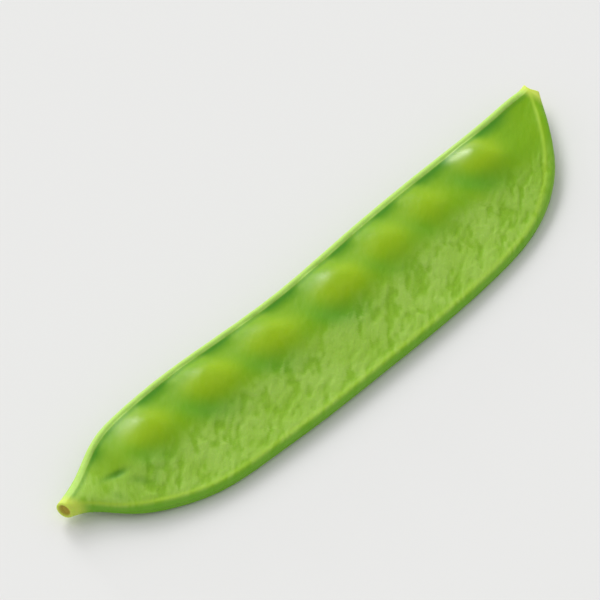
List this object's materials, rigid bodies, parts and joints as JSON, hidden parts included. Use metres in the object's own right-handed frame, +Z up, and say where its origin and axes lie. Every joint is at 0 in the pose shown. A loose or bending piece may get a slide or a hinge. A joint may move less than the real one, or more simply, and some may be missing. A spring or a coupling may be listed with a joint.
{
  "type": "snow pea pod",
  "caption": "Flat green snow pea pod lying on its side: low pea bumps along a stringy seam, a rounded back edge, a short broken stalk and a blunt beak.",
  "frame": {"origin": "centre of the pod's bounding box in plan, at the height of the surface that the pod lies on", "axes": "+X along the pod from the broken stalk to the beak, +Y towards the string seam, +Z up, out of the upper face"},
  "size_m": [0.0802, 0.0176, 0.0047],
  "materials": {
    "pod_skin": "waxy green plant skin, satin"
  },
  "bodies": {
    "root": {"snow_pea_pod": "pod_skin"}
  },
  "joints": []
}
